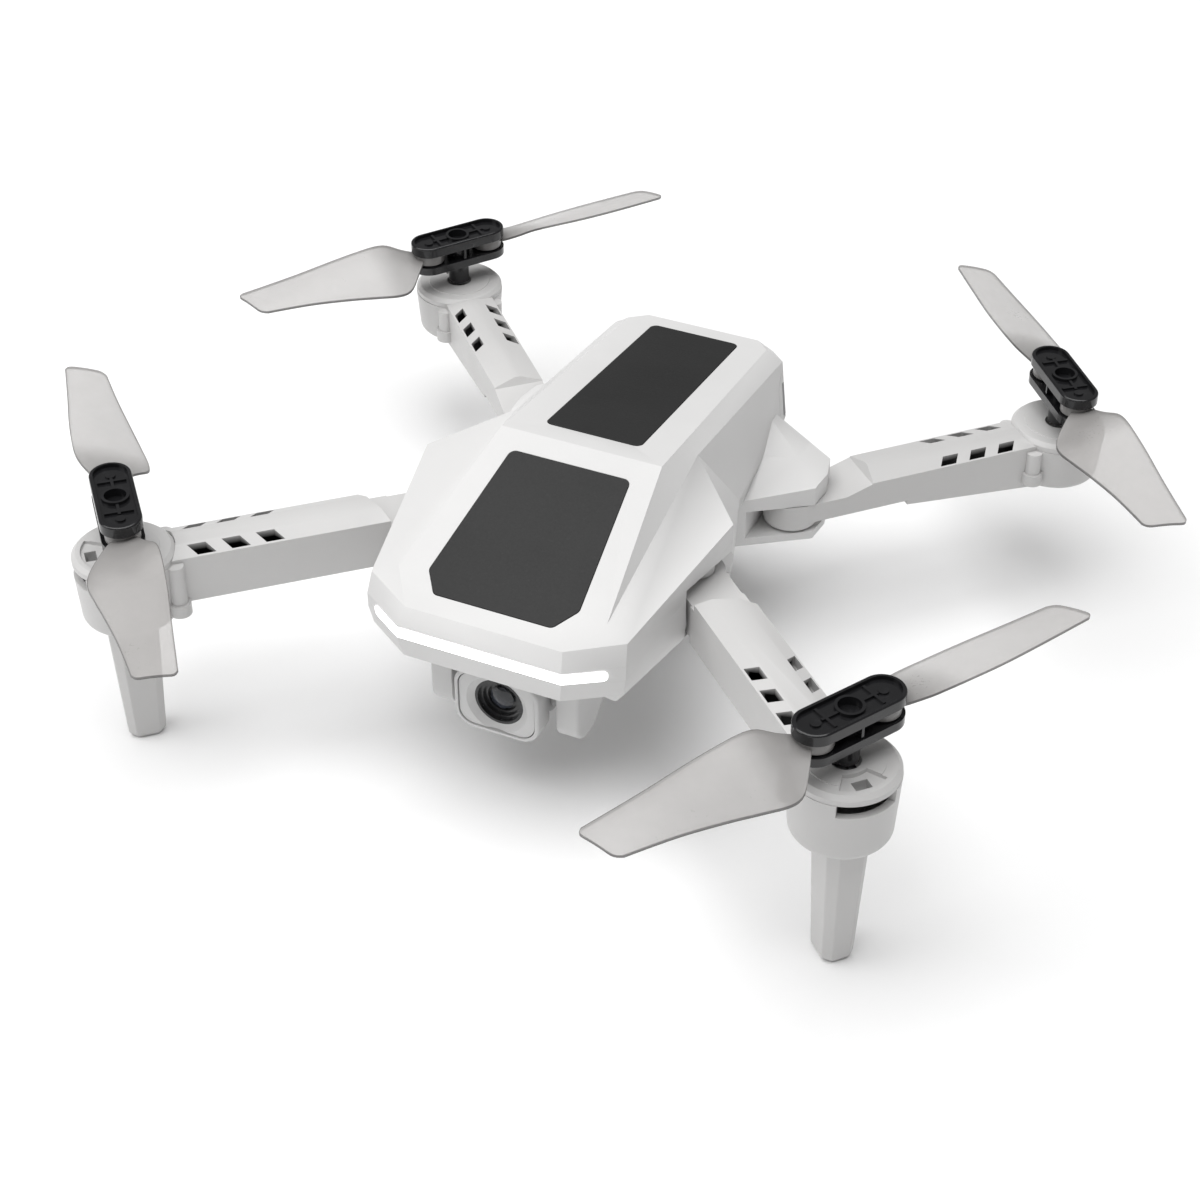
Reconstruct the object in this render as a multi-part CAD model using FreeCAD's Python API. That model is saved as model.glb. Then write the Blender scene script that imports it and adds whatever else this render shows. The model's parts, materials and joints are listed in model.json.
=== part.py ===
"""Folding quadcopter drone: a faceted body shell with two dark top panels, a nose light bar,
a tilting camera, a battery that slides out at the rear, and four arms that fold on upright pins.
Each arm ends in a motor pod with a two-blade folding rotor.

Frame: millimetres, +Z up, nose towards -Y, X = 0 is the plane of symmetry, feet on Z = 0.
"""
import FreeCAD, Part
import math
import os
from FreeCAD import Vector

os.makedirs("parts", exist_ok=True)

# ---- driving dimensions: body ---------------------------------------------------------------
WALL = 2.0                 # moulded wall
CREASE_Y = -22.1           # where the two flats of the top meet
CREASE_Z = 72.1
NOSE_SLOPE = 0.3506        # fall of the front flat towards the nose
TAIL_SLOPE = 0.0999        # fall of the rear flat towards the tail
WAIST_Z = 46.2             # lower edge of the light band
SKIRT_Z = 41.2             # lower edge of the nose
CHIN_Z = 36.0              # lower edge of the side skirt
BELLY_Z = 27.5
PANEL_SINK = 0.5           # depth of the seat that a top panel lies in
PANEL_PROUD = 0.12
SEAM_GAP = 0.12

# ---- driving dimensions: arms and rotors -----------------------------------------------------
ARM_REACH = 78.0           # from the hinge pin to the motor axis
ARM_WIDTH = 13.5
ARM_HEIGHT = 14.0
ARM_EAVES = 1.6            # how far the top falls from its ridges to its long edges
FRONT_HINGE = Vector(33.0, -30.0, 41.0)
FRONT_ANGLE = -43.0
REAR_HINGE = Vector(35.5, 27.7, 27.6)
REAR_ANGLE = 46.16
REAR_REACH = 76.95
REAR_RISE = 4.5            # the rear pods are this much shallower than the front ones
DRUM_R = 7.4               # round inner end of a front arm
REAR_DRUM_R = 7.0
REAR_DRUM_LOW = 2.9
REAR_DRUM_TOP = 10.2
DRUM_TOP = 10.6
PIN_R = 2.4                # hinge pin
PIN_FIT = 0.05
PIN_LOW = -0.3             # lower end of a hinge pin, from the arm's underside
POD_R = 12.3
POD_TAPER = 0.9            # how much the pod narrows towards its base
POD_LOW = -4.8
POD_TOP = 11.6
CAP_TOP = 14.0
MOTOR_R = 5.2
SHAFT_R = 0.8
LEG_TOP = -2.2             # the leg is let into the pod's base
HUB_PITCH = 18.2           # between the two blade pins
HUB_R = 5.0                # round ends of the hub plates
HUB_RISE = 6.8             # lower plate above the cap
HUB_HEIGHT = 8.3
BLADE_REACH = 66.5         # rotor radius
BLADE_PIN_R = 1.2
BLADE_FIT = 0.05
BLADE_EYE_R = 4.2

# ---- driving dimensions: camera and battery ---------------------------------------------------
CAMERA_AXIS_Y = -58.0
CAMERA_AXIS_Z = 27.2
CAMERA_FRONT_Y = -69.0
CAMERA_MID_Z = 27.6        # height of the lens
CAMERA_HALF = 11.0         # half width of the housing
CHEEK_IN = 13.6
CHEEK_OUT = 19.4
LENS_R = 6.3
NOSE_ROOM_BACK = -47.0     # rear wall of the open space that the camera hangs in
BATTERY_SEAM_Y = 45.2
BATTERY_TOP_Z = 60.2
BATTERY_LOW_Z = 43.5


# ---- small helpers ----------------------------------------------------------------------------
def box(x0, x1, y0, y1, z0, z1):
    return Part.makeBox(x1 - x0, y1 - y0, z1 - z0, Vector(x0, y0, z0))


def disc(radius, z0, z1, x=0.0, y=0.0):
    return Part.makeCylinder(radius, z1 - z0, Vector(x, y, z0))


def rod_x(radius, x0, x1, y, z):
    return Part.makeCylinder(radius, x1 - x0, Vector(x0, y, z), Vector(1, 0, 0))


def rod_y(radius, y0, y1, x, z):
    return Part.makeCylinder(radius, y1 - y0, Vector(x, y0, z), Vector(0, 1, 0))


def prism(outline, z0, z1):
    """An upright prism over a closed outline of (x, y) points."""
    wire = Part.makePolygon([Vector(x, y, z0) for x, y in outline + outline[:1]])
    return Part.Face(wire).extrude(Vector(0, 0, z1 - z0))


def side_prism(outline, x0, x1):
    """A prism along X over a closed outline of (y, z) points."""
    wire = Part.makePolygon([Vector(x0, y, z) for y, z in outline + outline[:1]])
    return Part.Face(wire).extrude(Vector(x1 - x0, 0, 0))


def soften(shape, radius, chosen):
    """Rounds the edges that chosen accepts."""
    edges = [e for e in shape.Edges if chosen(e)]
    return shape.makeFillet(radius, edges)


def upright(edge):
    a, b = edge.Vertexes[0].Point, edge.Vertexes[-1].Point
    return abs(a.x - b.x) < 1e-6 and abs(a.y - b.y) < 1e-6 and abs(a.z - b.z) > 0.1


def along_x(edge):
    a, b = edge.Vertexes[0].Point, edge.Vertexes[-1].Point
    return abs(a.y - b.y) < 1e-6 and abs(a.z - b.z) < 1e-6 and abs(a.x - b.x) > 0.1


def slot(length, radius, z0, z1):
    """A plate with round ends, its length along X between the end centres."""
    half = length / 2
    plate = box(-half, half, -radius, radius, z0, z1)
    return plate.fuse([disc(radius, z0, z1, half), disc(radius, z0, z1, -half)]).removeSplitter()


def mirrored(shape):
    """The same piece on the other side of the plane of symmetry."""
    return shape.mirror(Vector(0, 0, 0), Vector(1, 0, 0))


def both_sides(shape):
    return shape.fuse(mirrored(shape))


def turned(shape, degrees):
    copy = shape.copy()
    copy.rotate(Vector(0, 0, 0), Vector(0, 0, 1), degrees)
    return copy


def moved(shape, offset):
    copy = shape.copy()
    copy.translate(offset)
    return copy


def save(name, shape):
    solids = shape.Solids
    good = bool(solids) and all(s.isValid() for s in solids)
    print(f"{name:28s} solids {len(solids)}  volume {shape.Volume:10.1f}  {'ok' if good else 'BAD'}")
    result = solids[0] if len(solids) == 1 else Part.makeCompound(solids)
    result.exportStep(f"parts/{name}.step")


# ---- outer form of the body -------------------------------------------------------------------
def front_flat(y):
    return CREASE_Z + NOSE_SLOPE * (y - CREASE_Y)


def rear_flat(y):
    return CREASE_Z - TAIL_SLOPE * (y - CREASE_Y)


def body_corners(inset):
    """The named corners of the right half, each moved in by the wall where inset is not 0."""
    places = {
        "tail_top_side": (19.4, 48.0, rear_flat(48.0)),
        "tail_top_back": (15.4, 52.0, rear_flat(52.0)),
        "crease": (20.9, CREASE_Y, CREASE_Z),
        "nose_top_side": (26.5, -64.6, front_flat(-64.6)),
        "nose_top_front": (19.9, -74.1, front_flat(-74.1)),
        "tail_shoulder_side": (23.6, 48.8, 62.2),
        "tail_shoulder_back": (19.2, 53.2, 61.8),
        "wing_root": (24.1, -8.0, 67.8),
        "wing_tip": (40.2, -24.5, 62.9),
        "cheekbone": (32.5, -66.8, 55.2),
        "brow_side": (33.0, -68.6, 50.0),
        "brow_front": (20.8, -76.6, 50.0),
        "tail_low_side": (25.2, 49.0, WAIST_Z),
        "tail_low_back": (20.4, 53.8, WAIST_Z),
        "pod_low": (29.0, 8.0, WAIST_Z),
        "wing_low": (40.2, -24.5, WAIST_Z),
        "nose_low_side": (33.0, -68.6, WAIST_Z),
        "nose_low_front": (20.8, -76.6, WAIST_Z),
    }
    corners = {}
    for name, (x, y, z) in places.items():
        if inset:
            x -= inset
            y -= math.copysign(inset, y + 11.0)
            z -= inset if z > WAIST_Z + 0.1 else -0.0
        corners[name] = (x, y, z)
    return corners


RIGHT_FACES = [
    ["tail_top_side", "tail_shoulder_side", "wing_root", "crease"],
    ["tail_top_back", "tail_shoulder_back", "tail_shoulder_side", "tail_top_side"],
    ["crease", "wing_root", "nose_top_side"],
    ["wing_root", "cheekbone", "nose_top_side"],
    ["wing_root", "wing_tip", "cheekbone"],
    ["nose_top_side", "cheekbone", "nose_top_front"],
    ["nose_top_front", "cheekbone", "brow_side", "brow_front"],
    ["cheekbone", "wing_tip", "wing_low", "nose_low_side", "brow_side"],
    ["brow_front", "brow_side", "nose_low_side", "nose_low_front"],
    ["wing_root", "pod_low", "wing_low"],
    ["wing_root", "wing_low", "wing_tip"],
    ["wing_root", "tail_shoulder_side", "tail_low_side", "pod_low"],
    ["tail_shoulder_side", "tail_shoulder_back", "tail_low_back", "tail_low_side"],
]
MIDDLE_FACES = [
    ["tail_top_back", "tail_top_side", "crease"],
    ["crease", "nose_top_side", "nose_top_front"],
    ["nose_top_front", "brow_front"],
    ["brow_front", "nose_low_front"],
    ["tail_shoulder_back", "tail_top_back"],
    ["tail_low_back", "tail_shoulder_back"],
    ["nose_low_front", "nose_low_side", "wing_low", "pod_low", "tail_low_side", "tail_low_back"],
]


def faceted(corners):
    """A closed solid of flat facets from the named corners and their mirror images."""
    def place(name, side):
        x, y, z = corners[name]
        return Vector(x * side, y, z)

    triangles = []

    def add(loop):
        for i in range(1, len(loop) - 1):
            triangle = [loop[0], loop[i], loop[i + 1], loop[0]]
            triangles.append(Part.Face(Part.makePolygon(triangle)))

    for names in RIGHT_FACES:
        add([place(n, 1) for n in names])
        add([place(n, -1) for n in reversed(names)])
    for names in MIDDLE_FACES:
        add([place(n, 1) for n in names] + [place(n, -1) for n in reversed(names)])
    shell = Part.makeShell(triangles)
    solid = Part.makeSolid(shell)
    if solid.Volume < 0:
        solid.reverse()
    return solid.removeSplitter()


def ring(inset, z):
    """The outline of the body at the waist, moved in, as a closed wire at height z."""
    names = ["nose_low_front", "nose_low_side", "wing_low", "pod_low", "tail_low_side", "tail_low_back"]
    corners = body_corners(inset)
    right = [corners[n][:2] for n in names]
    loop = right + [(-x, y) for x, y in reversed(right)]
    return Part.makePolygon([Vector(x, y, z) for x, y in loop + loop[:1]])


def lower_form(inset):
    """The skirt below the waist and the belly pan, closed."""
    floor = CHIN_Z + inset
    skirt = Part.makeLoft([ring(inset, WAIST_Z), ring(inset + 0.8, SKIRT_Z)], True, True)
    chin = Part.makeLoft([ring(inset + 0.8, SKIRT_Z), ring(inset + 4.0, floor)], True, True)
    belly = prism(
        [(-22 + inset, 50 - inset), (22 - inset, 50 - inset), (24 - inset, 8), (22 - inset, -40),
         (16 - inset, -50 + inset), (-16 + inset, -50 + inset), (-22 + inset, -40), (-24 + inset, 8)],
        BELLY_Z + inset, SKIRT_Z,
    )
    if not inset:
        belly = belly.makeChamfer(2.5, [e for e in belly.Edges if e.BoundBox.ZMax < BELLY_Z + 0.01])
    return skirt.fuse([chin, belly])


def arm_bay(hinge, first, last, grow, top):
    """The room that an arm's drum and neck sweep as the arm folds between two directions."""
    z0 = 0.55 - grow
    room = disc(DRUM_R + 0.6 + grow, z0, top + grow)
    half = ARM_WIDTH / 2 + 0.6 + grow
    count = 8
    for i in range(count + 1):
        way = box(0, 58, -half, half, z0, top + grow)
        room = room.fuse(turned(way, first + (last - first) * i / count))
    return moved(room, hinge)


def above_plane(point, normal):
    """A big block on the outer side of a slanted plane."""
    block = Part.makeBox(120, 120, 40, Vector(-60, -60, 0))
    tilt = FreeCAD.Rotation(Vector(0, 0, 1), normal)
    block.Placement = FreeCAD.Placement(point, tilt)
    return block


REAR_POD_LOW = 27.0
REAR_POD_FLOOR = 30.0
REAR_POD_CEILING = 38.0


def rear_pod():
    """The clamshell on the body's rear flank: a faceted hood over a lip, with the drum between."""
    plan = [(20.0, 8.9), (26.5, 13.4), (42.9, 25.0), (43.4, 32.0), (41.8, 38.1), (24.5, 43.0), (18.0, 43.0)]
    apex = Vector(26.3, 39.0, 49.5)
    block = prism(plan, REAR_POD_LOW, 56.0)
    block = block.cut(above_plane(apex, Vector(0.109, -0.300, 0.948)))
    block = block.cut(above_plane(apex, Vector(0.340, 0.0, 0.940)))
    return block.makeChamfer(1.0, [e for e in block.Edges if e.BoundBox.ZMax < REAR_POD_LOW + 0.01])


def rear_pod_room():
    """The open space between the hood and the lip."""
    plan = [(28.3, 13.0), (48.0, 26.0), (48.0, 46.0), (36.0, 39.5), (28.3, 36.0)]
    return prism(plan, REAR_POD_FLOOR, REAR_POD_CEILING)


FRONT_SWEEP = (-43.0, 50.0)


def body_form():
    return faceted(body_corners(0)).fuse(lower_form(0))


def hollow_form():
    return faceted(body_corners(WALL)).fuse(lower_form(WALL))


def flat_slab(low, high, front):
    """A slab that lies along the front or rear flat of the top, between two heights above it."""
    slab = Part.makeBox(120, 160, high - low, Vector(-60, -160 if front else 0, low))
    slope = NOSE_SLOPE if front else -TAIL_SLOPE
    slab.rotate(Vector(0, 0, 0), Vector(1, 0, 0), math.degrees(math.atan(slope)))
    slab.translate(Vector(0, CREASE_Y, CREASE_Z))
    return slab


def panel_outline(front, grow):
    if front:
        half = [(15.5, -27.8), (19.1, -63.5), (15.0, -69.2)]
    else:
        half = [(12.0, 47.1), (12.5, -15.9)]
    left = [(-x, y) for x, y in reversed(half)]
    block = prism(half + left, 40, 90)
    block = soften(block, 1.8, upright)
    if grow:
        block = block.makeOffsetShape(grow, 0.01)
    return block


def panel(front):
    return panel_outline(front, 0).common(flat_slab(-PANEL_SINK, PANEL_PROUD, front))


def panel_seat(front):
    return panel_outline(front, SEAM_GAP).common(flat_slab(-PANEL_SINK, 6.0, front))


def nose_path(out):
    """The plan of the light band round the nose, moved out by the given distance."""
    return [(29.6 + out * 0.35, -70.85 - out), (20.8 + out * 0.2, -76.6 - out)]


def light_bar():
    outer = nose_path(0.25)
    inner = nose_path(-1.7)
    loop = outer + [(-x, y) for x, y in reversed(outer)]
    back = [(-x, y) for x, y in inner] + list(reversed(inner))
    bar = prism(loop + back, 46.75, 49.45)
    ends = [e for e in bar.Edges if e.BoundBox.XMin > 28.4 or e.BoundBox.XMax < -28.4]
    ends = [e for e in ends if not upright(e)]
    return bar.makeFillet(1.15, ends)


def battery_profile(grow):
    """The side outline of the battery's end cap: upright seam with a round top corner."""
    y0, top, low = BATTERY_SEAM_Y - grow, BATTERY_TOP_Z + grow, BATTERY_LOW_Z - grow
    block = side_prism([(y0, low), (60, low), (60, top), (y0, top)], -40, 40)
    seam = [e for e in block.Edges if along_x(e) and e.BoundBox.YMax < y0 + 0.01]
    return block.makeFillet(6.0, [e for e in seam if e.BoundBox.ZMin > low + 1])


def split_profile():
    """Everything above the seam between the two covers: the seam climbs under the wings."""
    path = [(-90, 46.2), (-68.6, 46.2), (-24.5, 58.4), (-10, 58.4), (2, 46.2), (90, 46.2)]
    return side_prism(path + [(90, 100), (-90, 100)], -60, 60)


def covers():
    outer = body_form()
    pod = rear_pod()
    pods = pod.fuse(mirrored(pod))
    inner = hollow_form()
    front_bay = arm_bay(FRONT_HINGE, *FRONT_SWEEP, 0, ARM_HEIGHT + 0.45)
    lining = arm_bay(FRONT_HINGE, *FRONT_SWEEP, 1.5, ARM_HEIGHT + 0.45).common(outer)
    whole = outer.cut(inner).fuse(both_sides(lining)).fuse(pods)
    whole = whole.cut(both_sides(front_bay)).cut(both_sides(rear_pod_room()))
    whole = whole.cut(box(-28.4, 28.4, -90, NOSE_ROOM_BACK, 10, SKIRT_Z - 0.3))
    roof = box(-28.6, 28.6, -73, NOSE_ROOM_BACK, SKIRT_Z - 0.3, SKIRT_Z + 1.5)
    back = box(-22, 22, NOSE_ROOM_BACK, NOSE_ROOM_BACK + WALL, BELLY_Z, SKIRT_Z + 0.5)
    whole = whole.fuse([roof.common(outer), back.common(outer)])
    front_gap = (0.55, DRUM_TOP + 0.4)
    rear_gap = (REAR_DRUM_LOW - 0.05, REAR_DRUM_TOP + 0.05)
    for hinge, (low, high) in ((FRONT_HINGE, front_gap), (REAR_HINGE, rear_gap)):
        boss = disc(PIN_R + 2.4, -2.4, low).fuse(disc(PIN_R + 2.4, high, ARM_HEIGHT + 1.6))
        boss = moved(boss, hinge).common(outer.fuse(pods).fuse(both_sides(rear_pod_room())))
        whole = whole.fuse(both_sides(boss))
        hole = moved(disc(PIN_R, PIN_LOW, ARM_HEIGHT + 1.2), hinge)
        whole = whole.cut(both_sides(hole))
    whole = whole.cut(battery_profile(SEAM_GAP))
    whole = whole.cut(box(-19.4, 19.4, 0, 60, BATTERY_LOW_Z + 0.4, 60.0))
    whole = whole.cut(panel_seat(True)).cut(panel_seat(False))
    whole = whole.cut(light_bar())
    above = split_profile()
    top = whole.common(above)
    bottom = whole.cut(above)
    return top, bottom




def largest(shape):
    return max(shape.Solids, key=lambda s: s.Volume)


# ---- an arm, with its hinge at the origin and its motor out along +X ----------------------------
def reach(front):
    return ARM_REACH if front else REAR_REACH


def pod_low(front):
    return POD_LOW if front else POD_LOW + REAR_RISE


def gable(x0, x1, low, ridge, top):
    """A beam along X with a shallow roof: flat between its two ridges, falling to its long edges."""
    half = ARM_WIDTH / 2
    loop = [(-half, low), (half, low), (half, top - ARM_EAVES), (ridge, top), (-ridge, top)]
    loop.append((-half, top - ARM_EAVES))
    wire = Part.makePolygon([Vector(x0, y, z) for y, z in loop + loop[:1]])
    return Part.Face(wire).extrude(Vector(x1 - x0, 0, 0))


def front_beam(end):
    """The front arm's beam with its stepped inner end and round drum."""
    half = ARM_WIDTH / 2
    beam = gable(13.0, end - 6, 0, 3.0, ARM_HEIGHT)
    beam = beam.cut(prism([(12.0, -8), (12.0, 8), (20.5, 8), (14.6, -8)], DRUM_TOP, ARM_HEIGHT + 1))
    neck = box(0, 26, -half + 0.4, half - 0.4, 1.0, DRUM_TOP)
    drum = soften(disc(DRUM_R, 1.0, DRUM_TOP), 1.8, lambda e: e.BoundBox.ZMax < 1.01)
    return beam.fuse([neck, drum])


def rear_beam(end):
    """The rear arm's beam: its underside climbs towards the hinge and its top steps down there."""
    beam = gable(0.0, end - 6, 0.2, 0.8, ARM_HEIGHT + 0.3)
    under = side_cut([(-12, -2), (30, -2), (30, 4.8), (-12, 4.8)])
    slope = side_cut([(30, -2), (66, -2), (66, 0.3), (30, 3.6)])
    over = side_cut([(-12, REAR_DRUM_TOP), (12.5, REAR_DRUM_TOP), (19.5, 12.4), (22.0, 16), (-12, 16)])
    beam = beam.cut(over).cut(slope).cut(under)
    drum = disc(REAR_DRUM_R, REAR_DRUM_LOW, REAR_DRUM_TOP)
    drum = soften(drum, 1.0, lambda e: e.BoundBox.ZMax < REAR_DRUM_LOW + 0.01)
    return beam.fuse(drum)


def side_cut(outline):
    """A prism across the arm over a closed outline of (x, z) points."""
    wire = Part.makePolygon([Vector(x, -9, z) for x, z in outline + outline[:1]])
    return Part.Face(wire).extrude(Vector(0, 18, 0))


POST_IN = 10.8             # an arm's corner posts stand this far in from the motor axis
POST_SIDE = 7.3
POST_LIFT = 2.5


def arm_shell(front):
    end = reach(front)
    low = pod_low(front)
    half = ARM_WIDTH / 2
    shell = front_beam(end) if front else rear_beam(end)
    floor = 1.6 if front else 6.9
    shell = shell.cut(box(29, end - 13.5, -half + 1.6, half - 1.6, floor, ARM_HEIGHT - 2.0))
    pod = Part.makeCone(POD_R - POD_TAPER, POD_R, POD_TOP - low, Vector(end, 0, low))
    pod = soften(pod, 2.2, lambda e: e.BoundBox.ZMax < low + 0.01)
    shell = shell.fuse(pod)
    foot = low + POST_LIFT
    x = end - POST_IN
    for side in (-1, 1):
        y = side * POST_SIDE
        post = disc(2.0, foot + 3.0, POD_TOP - 0.2, x, y)
        cup = disc(2.7, foot, foot + 3.2, x, y)
        shell = shell.fuse([post, cup])
    room = disc(POD_R - 1.9, low + 2.6, POD_TOP + 3, end)
    shell = shell.cut(room).cut(disc(POD_R - 0.1, POD_TOP, POD_TOP + 4, end))
    first = 43.9 if front else 42.4
    for i in range(3):
        for side in (-1, 1):
            outer = side * (half - 0.5)
            inner = side * (half - 3.4)
            plan = [(-3.2, outer), (1.2, outer), (3.2, inner), (-1.2, inner)]
            window = prism(plan, ARM_HEIGHT - 4.0, ARM_HEIGHT + 2.0)
            shell = shell.cut(moved(window, Vector(first + 8.2 * i, 0, 0)))
    vent = prism([(0, 0), (20, 14.0), (20, -14.0)], 8.3, POD_TOP + 1)
    vent.translate(Vector(end, 0, 0))
    shell = shell.cut(vent.cut(disc(POD_R - 3.0, 0, 20, end)))
    for side in (-1, 1):
        y = side * POST_SIDE
        shell = shell.cut(disc(1.55, foot - 1, foot + 2.0, x, y)).cut(disc(0.9, foot, foot + 5.4, x, y))
    if front:
        shell = shell.cut(leg_form())
    shell = shell.cut(disc(PIN_R + PIN_FIT, -1, ARM_HEIGHT + 2))
    return largest(shell.removeSplitter())


def octagon(x, half_x, half_y, corner, z):
    loop = [(half_x, -half_y + corner), (half_x, half_y - corner), (half_x - corner, half_y)]
    loop += [(-half_x + corner, half_y), (-half_x, half_y - corner), (-half_x, -half_y + corner)]
    loop += [(-half_x + corner, -half_y), (half_x - corner, -half_y)]
    return Part.makePolygon([Vector(x + a, b, z) for a, b in loop + loop[:1]])


def leg_form():
    """A tapered eight-sided leg under a front motor pod, standing on Z = 0."""
    x = ARM_REACH + 0.5
    foot = -FRONT_HINGE.z
    tip = octagon(x, 3.7, 3.0, 1.5, foot)
    above = octagon(x, 4.6, 3.9, 1.7, foot + 1.4)
    top = octagon(x, 6.3, 5.3, 2.3, LEG_TOP)
    return Part.makeLoft([tip, above], True, True).fuse(Part.makeLoft([above, top], True, True))


def pod_cap(front):
    end = reach(front)
    cap = disc(POD_R - 0.15, POD_TOP, CAP_TOP, end)
    cap = cap.makeChamfer(1.0, [e for e in cap.Edges if e.BoundBox.ZMin > CAP_TOP - 0.01])
    cap = cap.fuse(disc(POD_R - 2.0, POD_TOP - 1.2, POD_TOP, end))
    cap = cap.fuse(disc(8.6, CAP_TOP, CAP_TOP + 0.25, end))
    crescent = disc(9.9, CAP_TOP - 0.8, CAP_TOP + 1).cut(disc(6.4, 0, 20, -1.6))
    crescent = crescent.common(prism([(0, 0), (16, 11), (16, -11)], 0, 30))
    crescent = crescent.fuse(box(6.2, 8.9, -1.9, 1.9, POD_TOP - 2, CAP_TOP))
    cap = cap.cut(moved(crescent, Vector(end, 0, 0)))
    return cap.cut(disc(3.4, POD_TOP - 2, CAP_TOP + 2, end))


def motor_can(front):
    end = reach(front)
    low = pod_low(front) + 2.6
    can = disc(MOTOR_R, low, 9.8, end)
    rims = [e for e in can.Edges if e.BoundBox.ZMin > 9.79]
    can = can.makeFillet(0.8, rims)
    can = can.fuse(disc(1.9, 9.8, 10.4, end))
    can = can.cut(disc(SHAFT_R + PIN_FIT, low + 3.2, 14, end))
    tab = box(-1.2, 1.2, 0, 0.8, low, low + 1.2)
    return can.cut(moved(tab, Vector(end, MOTOR_R - 0.6, 0)))


def arm_screws(front):
    x = reach(front) - POST_IN
    head = pod_low(front) + POST_LIFT
    screws = []
    for side in (-1, 1):
        screw = disc(1.5, head + 0.3, head + 2.0, x, side * POST_SIDE)
        screw = screw.fuse(disc(0.9, head + 2.0, head + 5.4, x, side * POST_SIDE))
        slot_cut = box(-1.0, 1.0, -0.2, 0.2, head - 0.4, head + 0.8)
        screws.append(screw.cut(moved(slot_cut, Vector(x, side * POST_SIDE, 0))))
    return screws[0].fuse(screws[1])


# ---- a rotor, with its axis at the origin and its lower plate on Z = 0 ---------------------------
def hub_base():
    base = slot(HUB_PITCH, HUB_R, 0, 2.2)
    base = base.fuse(disc(2.9, -HUB_RISE + 0.75, 0))
    base = base.fuse(disc(3.2, 2.2, HUB_HEIGHT - 2.8))
    base = base.fuse(box(-0.35, 0.35, -4.6, 4.6, 2.2, HUB_HEIGHT - 2.8))
    for side in (-1, 1):
        x = side * HUB_PITCH / 2
        base = base.fuse(disc(1.9, -0.8, 0, x))
        base = base.cut(disc(BLADE_PIN_R, -2, 4, x))
    return base.cut(disc(SHAFT_R, -HUB_RISE, 4.4)).removeSplitter()


def hub_top():
    low = HUB_HEIGHT - 2.8
    plate = slot(HUB_PITCH, HUB_R, low, HUB_HEIGHT)
    plate = plate.makeFillet(0.5, [e for e in plate.Edges if e.BoundBox.ZMin > HUB_HEIGHT - 0.01])
    tray = slot(HUB_PITCH, HUB_R - 0.95, HUB_HEIGHT - 0.9, HUB_HEIGHT + 1)
    ribs = box(-HUB_PITCH / 2 + 1.5, HUB_PITCH / 2 - 1.5, -0.35, 0.35, low, HUB_HEIGHT - 0.35)
    for side in (-1, 1):
        x = side * (HUB_PITCH / 2 - 2.6)
        ribs = ribs.fuse(box(x - 0.35, x + 0.35, -3.4, 3.4, low, HUB_HEIGHT - 0.35))
    ribs = ribs.fuse(disc(3.3, low, HUB_HEIGHT - 0.1))
    plate = plate.cut(tray.cut(ribs))
    plate = plate.cut(disc(2.6, low + 0.6, HUB_HEIGHT + 1))
    for side in (-1, 1):
        plate = plate.cut(disc(BLADE_PIN_R, low - 1, HUB_HEIGHT + 1, side * HUB_PITCH / 2))
    return plate.removeSplitter()


def hub_pins():
    pins = [disc(BLADE_PIN_R, -0.8, HUB_HEIGHT - 0.5, side * HUB_PITCH / 2) for side in (-1, 1)]
    return pins[0].fuse(pins[1])


def motor_shaft():
    """From the hub down into the motor can."""
    return disc(SHAFT_R, -HUB_RISE - 8.4, 4.4)


# each blade station: distance from the pin, front and rear edge, pitch in degrees, camber
BLADE_STATIONS = [
    (3.6, 2.9, 3.1, 2.0, 0.05),
    (7.0, 4.6, 6.2, 14.0, 0.3),
    (10.8, 6.9, 9.8, 22.0, 0.7),
    (15.0, 8.1, 11.4, 23.0, 1.0),
    (20.0, 7.9, 10.3, 21.0, 1.0),
    (28.0, 7.1, 8.2, 17.5, 0.9),
    (40.0, 5.8, 6.4, 13.0, 0.6),
    (BLADE_REACH - HUB_PITCH / 2 - 1.6, 4.4, 5.0, 9.0, 0.3),
    (BLADE_REACH - HUB_PITCH / 2, 2.9, 3.7, 8.6, 0.2),
]
BLADE_THICK = 0.9


def blade_section(x, lead, trail, pitch, camber, hand, mid):
    """The closed outline of a blade across its length: two shallow arcs joined by short edges."""
    a = math.radians(pitch)
    corners = []
    for along, lift in ((lead, 0.0), ((lead - trail) / 2, camber), (-trail, 0.0)):
        corners.append((along * math.cos(a), along * math.sin(a) + lift))

    def row(offset):
        return [Vector(x, hand * y, mid + z + offset) for y, z in corners]

    upper, lower = row(BLADE_THICK / 2), row(-BLADE_THICK / 2)
    return Part.Wire([
        Part.Arc(*upper).toShape(),
        Part.makeLine(upper[2], lower[2]),
        Part.Arc(*reversed(lower)).toShape(),
        Part.makeLine(lower[0], upper[0]),
    ])


def blade(hand):
    """A folding blade out along +X from its pin; hand is -1 for a rotor that turns clockwise."""
    mid = (2.2 + HUB_HEIGHT - 2.8) / 2
    wing = Part.makeLoft([blade_section(*station, hand, mid) for station in BLADE_STATIONS], True)
    if wing.Volume < 0:
        wing.reverse()
    eye = disc(BLADE_EYE_R, 2.5, HUB_HEIGHT - 3.1)
    whole = eye.fuse(wing).cut(disc(BLADE_PIN_R + BLADE_FIT, 0, 9))
    return largest(whole)


# ---- camera -----------------------------------------------------------------------------------
def rounded_block(half, low, high, y0, y1, radius):
    block = box(-half, half, y0, y1, low, high)

    def along_y(edge):
        a, b = edge.Vertexes[0].Point, edge.Vertexes[-1].Point
        return abs(a.x - b.x) < 1e-6 and abs(a.z - b.z) < 1e-6 and abs(a.y - b.y) > 0.1

    return soften(block, radius, along_y)


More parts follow.
